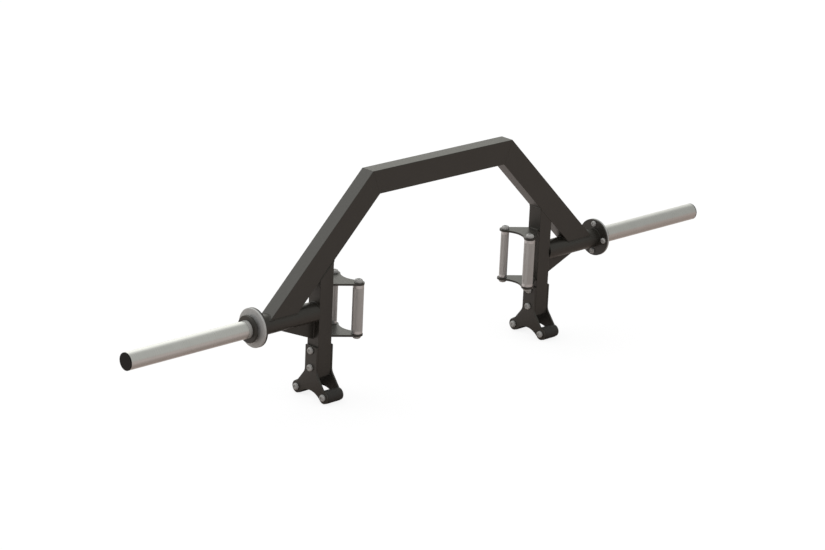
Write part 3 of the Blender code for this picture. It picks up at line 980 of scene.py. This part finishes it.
def sink_socket(bm, height, flats, depth, turn):
    """Closes a head's open rim with a hexagonal socket, as wide across its flats as its key."""
    rim = open_edges(bm.edges)
    rim = [edge for edge in rim if min(v.co.z for v in edge.verts) > height - fit]
    drawn_in = bmesh.ops.extrude_edge_only(bm, edges=rim)["geom"]
    for vertex in corners_of(drawn_in):
        around = math.atan2(vertex.co.y, vertex.co.x) - turn
        off_flat = around % (math.pi / 3) - math.pi / 6
        vertex.co.xy *= flats / 2 / math.cos(off_flat) / vertex.co.xy.length
    lowered = bmesh.ops.extrude_edge_only(bm, edges=open_edges(drawn_in))["geom"]
    bmesh.ops.translate(bm, vec=(0.0, 0.0, -depth), verts=corners_of(lowered))
    floor_face = bmesh.ops.edgeloop_fill(bm, edges=open_edges(lowered))["faces"]
    drill_point = bmesh.ops.poke(bm, faces=floor_face)["verts"]
    bmesh.ops.translate(bm, vec=(0.0, 0.0, -depth / 5), verts=drill_point)


# %% Button heads
dome_start = 0.3
dome_percent = 88.0
dome_steps = 6
head_steps = 48
rim_share = 1.12
socket_share = 0.22
turn_between = 5 * 2 * math.pi / head_steps
flats_10 = 0.006
flats_12 = 0.008


def button_bolt(length, shank, head_radius, head_height, flats, turn, both_ends):
    """A bolt along Z with its head on top, from its tip or, with two heads, from its middle."""
    bm = bmesh.new()
    rim = flats / math.sqrt(3) * rim_share
    top = length + head_height
    dome = length + dome_start * head_height
    section = [(0.0, shank), (length, shank), (length, head_radius)]
    section += [(dome, head_radius), (top, head_radius), (top, rim)]
    if not both_ends:
        section.insert(0, (0.0, 0.0))
    crown = draw_section(bm, section)[-2]
    round_off(bm, [crown], dome_percent, dome_steps, affect="VERTICES", offset_type="PERCENT")
    spin_round(bm, head_steps)
    sink_socket(bm, top, flats, head_height * socket_share, turn)
    if both_ends:
        geom = bm.verts[:] + bm.edges[:] + bm.faces[:]
        bmesh.ops.mirror(bm, geom=geom, matrix=Matrix(), merge_dist=same_point, axis="Z")
    bmesh.ops.recalc_face_normals(bm, faces=bm.faces)
    return bm


# %% [markdown]
# Four bolts hold each sleeve flange, with their heads on the frame's side. Nobody lines up the
# sockets of bolts, so each is turned a few steps further than the one before.

# %% Flange bolts
facing_left = Matrix.Rotation(-math.pi / 2, 4, "Y")
head_radius = 0.00875
head_height = 0.0055
for count, (name, (y, up)) in enumerate(bolt_spots.items()):
    low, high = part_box(f"flange_bolt_{name}_right")
    shank_length = high[0] - low[0] - head_height
    sizes = (shank_length, flange_bolt_radius, head_radius, head_height, flats_10)
    bm = button_bolt(*sizes, count * turn_between, both_ends=False)
    place = Matrix.Translation((high[0], y, axis_height + up)) @ facing_left
    finish_pair(bm, f"flange_bolt_{name}", place)

# %% [markdown]
# The foot bolts run across the foot, along X, and the handle bolts stand in the grips, along Z.
# Each one's box gives its length and its middle. The table has the radius of its shank, the radius
# and the height of its head, and the way it points.

# %% Foot and handle bolts
along_x = Matrix.Rotation(math.pi / 2, 4, "Y")
along_z = Matrix()
foot_bolt = (foot_bolt_radius, 0.010, 0.0075, along_x)
through_bolts = {
    "post_bolt_upper": foot_bolt,
    "post_bolt_lower": foot_bolt,
    "toe_bolt_front": foot_bolt,
    "toe_bolt_back": foot_bolt,
    "grip_bolt_thick": (grip_bolt_radius, 0.012, 0.0088, along_z),
    "grip_bolt_thin": (grip_bolt_radius, 0.0115, 0.0085, along_z),
}
for count, (stem, sizes) in enumerate(through_bolts.items()):
    shank, head_radius, head_height, turned_to = sizes
    low, high = [Vector(corner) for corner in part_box(f"{stem}_right")]
    half = max(high - low) / 2 - head_height
    sizes = (half, shank, head_radius, head_height, flats_12)
    bm = button_bolt(*sizes, count * turn_between, both_ends=True)
    finish_pair(bm, stem, Matrix.Translation((low + high) / 2) @ turned_to)

# %% [markdown]
# The retaining screw goes into the end of the spindle. Its head is wider than the spindle, which
# keeps the sleeve on. The cap hides it.

# %% Retaining screws
screw_length = 0.024
screw_head_radius = 0.018
screw_head_height = 0.005
low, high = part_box("retaining_screw_right")
sizes = (screw_length, screw_radius, screw_head_radius, screw_head_height, flats_10)
bm = button_bolt(*sizes, 0.0, both_ends=False)
finish_turned(bm, "retaining_screw", low[0], turning=False)

# %% [markdown]
# ## Knurled grips
#
# A knurl is made by two hard wheels that press crossed grooves into a turning bar, which leaves
# rows of small pyramids. Here the spun tube has a grid of vertices, twice as fine as the pyramids,
# and every second vertex is pushed in, as on a chess board. Joining the low vertices of each face
# folds it along the groove. Real pyramids are 1.2 to 1.6 mm apart. They are 1.7 mm round the grip
# and 2.6 mm along it here, to keep the face count down. The bands at the ends are left plain, as on
# the real grips.


# %% Pressing the knurl
band_depth = 0.00012
band_step = 0.0005
groove_depth = 0.0004


def press_knurl(bm, radius, columns, row_height):
    """Pushes in every second vertex of the raised middle, and folds its faces."""
    low_vertices = []
    for vertex in bm.verts:
        row = (vertex.co.z - band) / row_height
        column = math.atan2(vertex.co.y, vertex.co.x) / (2 * math.pi) * columns
        outside = math.hypot(vertex.co.x, vertex.co.y) > radius - band_depth / 2
        if outside and (round(row) + round(column)) % 2:
            vertex.co.xy *= (radius - groove_depth) / radius
            low_vertices.append(vertex)
    bmesh.ops.connect_verts(bm, verts=low_vertices)


# %% Grips
pyramid_width = 0.0017
pyramid_length = 0.0026
grip_edge = 0.001
thick_radius = 0.016
thin_radius = 0.012
hole = grip_bolt_radius + fit

for name, y, radius in (("thick", -grip_offset, thick_radius), ("thin", grip_offset, thin_radius)):
    low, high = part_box(f"grip_{name}_right")
    length = high[2] - low[2]
    columns = 2 * round(2 * math.pi * radius / pyramid_width)
    rows = 2 * round((length - 2 * band) / pyramid_length)
    row_height = (length - 2 * band) / rows
    plain = radius - band_depth
    section = [(0.0, hole), (0.0, plain, grip_edge), (band - band_step, plain)]
    section += [(band + row * row_height, radius) for row in range(rows + 1)]
    section += [(length - band + band_step, plain), (length, plain, grip_edge), (length, hole)]
    bm = turned(section, steps=columns)
    press_knurl(bm, radius, columns, row_height)
    bmesh.ops.recalc_face_normals(bm, faces=bm.faces)
    upright = Matrix.Translation(((low[0] + high[0]) / 2, y, low[2]))
    finish_pair(bm, f"grip_{name}", upright)

# %% [markdown]
# ## Weld beads
#
# The frame is welded by hand under gas. Each bead is a row of overlapping ripples, 3 to 5 mm wide,
# under the same powder coat. A bead is a round-bevelled curve in the corner between two pieces,
# half sunk in both, and its radius rises and falls from point to point, which makes the ripples. It
# has no node in the CAD and replaces none. First come three ways to lay points along a corner:
# straight, across the pipe, and round the pipe where it meets the flange.


# %% Ways to lay a bead
ripple_length = 0.0024
bead_radius = 0.0021
flange_start = 0.668


def points_along(path, length):
    """Points half a ripple apart on a path, which is a function from 0 to 1."""
    count = max(2, round(2 * length / ripple_length))
    return [path(step / count) for step in range(count + 1)]


def straight(start, end):
    """A weld along a straight corner."""
    start, end = Vector(start), Vector(end)
    return points_along(lambda share: start.lerp(end, share), (end - start).length)


def over_pipe(half_width, x_at, below=False):
    """A weld across the pipe's top or bottom, where x_at gives its X from its height."""
    half_turn = math.asin(half_width / pipe_radius)

    def path(share):
        angle = half_turn * (2 * share - 1)
        up = axis_height + pipe_radius * math.cos(angle) * (-1 if below else 1)
        return Vector((x_at(up), pipe_radius * math.sin(angle), up))

    return points_along(path, 2 * half_turn * pipe_radius)


def round_flange(share):
    """A place on the circle where the pipe meets the frame's flange."""
    angle = 2 * math.pi * share
    up = axis_height + pipe_radius * math.cos(angle)
    return Vector((flange_start, pipe_radius * math.sin(angle), up))


# %% [markdown]
# The pipe is welded all round to the flange, across its top and bottom to the post, and to the leg
# that sits on it. The leg slopes at 45 degrees, so X and height add up to the same number all over
# its outer face, and to a smaller one all over its under face.

# %% Beads on the pipe
leg_outer_sum = 0.908
leg_under_sum = 0.809
post_face = 0.024
leg_face = 0.023
inset = 0.0015

post_inner, post_outer = [corner[0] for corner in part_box("post_right")]
paths = [points_along(round_flange, 2 * math.pi * pipe_radius)]
for below in (False, True):
    paths.append(over_pipe(post_face - inset, lambda up: post_outer, below))
for total in (leg_outer_sum, leg_under_sum):
    paths.append(over_pipe(leg_face, lambda up: total - up))
print(len(paths), "beads on the pipe")

# %% [markdown]
# The other beads are straight. On the front and the back they follow the gusset's two edges, the
# leg's foot on the pipe, and the slant where the post meets the leg. Two more cross under the leg
# beside the post, and each handle plate has one above and one below its root.

# %% Beads on gussets, posts and handles
gusset_low, gusset_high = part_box("gusset_right")
leg_seam = axis_height + math.sqrt(pipe_radius**2 - leg_face**2)
for side in (-1, 1):
    face = side * gusset_high[1]
    top = gusset_high[2]
    paths.append(straight((post_outer, face, gusset_low[2] + inset), (post_outer, face, top)))
    paths.append(straight((post_outer, face, top), (gusset_high[0] - inset, face, top)))
    face = side * leg_face
    ends = [(total - leg_seam, face, leg_seam) for total in (leg_under_sum, leg_outer_sum)]
    paths.append(straight(*ends))
    ends = [(x, face, leg_under_sum - x) for x in (post_inner, post_outer)]
    paths.append(straight(*ends))
for x in (post_inner, post_outer):
    ends = [(x, y, leg_under_sum - x) for y in (-leg_face, leg_face)]
    paths.append(straight(*ends))
root = root_half_width - 2 * bead_radius
for name in ("upper", "lower"):
    low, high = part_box(f"handle_plate_{name}_right")
    for up in (low[2], high[2]):
        paths.append(straight((post_inner, -root, up), (post_inner, root, up)))
print(len(paths), "beads in all")

# %% [markdown]
# One curve holds all the paths as splines, so that its bevel makes every bead at once. A path that
# ends where it starts is made a closed spline without its last point. The curve is then turned into
# a mesh, and becomes a piece on each side.

# %% Beads along the paths
low_ripple = 0.84
bead_steps = 2
curve = bpy.data.curves.new("weld_beads", "CURVE")
curve.dimensions = "3D"
curve.bevel_depth = bead_radius
curve.bevel_resolution = bead_steps
curve.use_fill_caps = True
for points in paths:
    closed = (points[0] - points[-1]).length < fit
    points = points[:-1] if closed else points
    spline = curve.splines.new("POLY")
    spline.points.add(len(points) - 1)
    spline.use_cyclic_u = closed
    for count, (point, spot) in enumerate(zip(spline.points, points)):
        point.co = (*spot, 1.0)
        point.radius = low_ripple if count % 2 else 1.0
beads = add_object("weld_beads", curve)
evaluated = beads.evaluated_get(bpy.context.evaluated_depsgraph_get())
bm = bmesh.new()
bm.from_mesh(bpy.data.meshes.new_from_object(evaluated))
bpy.data.curves.remove(curve)
bmesh.ops.remove_doubles(bm, verts=bm.verts, dist=line_gap)
bmesh.ops.recalc_face_normals(bm, faces=bm.faces)
right = to_mesh(bm, "weld_beads_right")
left = mirror_image(right, "weld_beads_left")
for mesh in (right, left):
    finish_piece(mesh, "black_paint", "frame")
print("weld beads have", len(right.polygons), "faces a side")
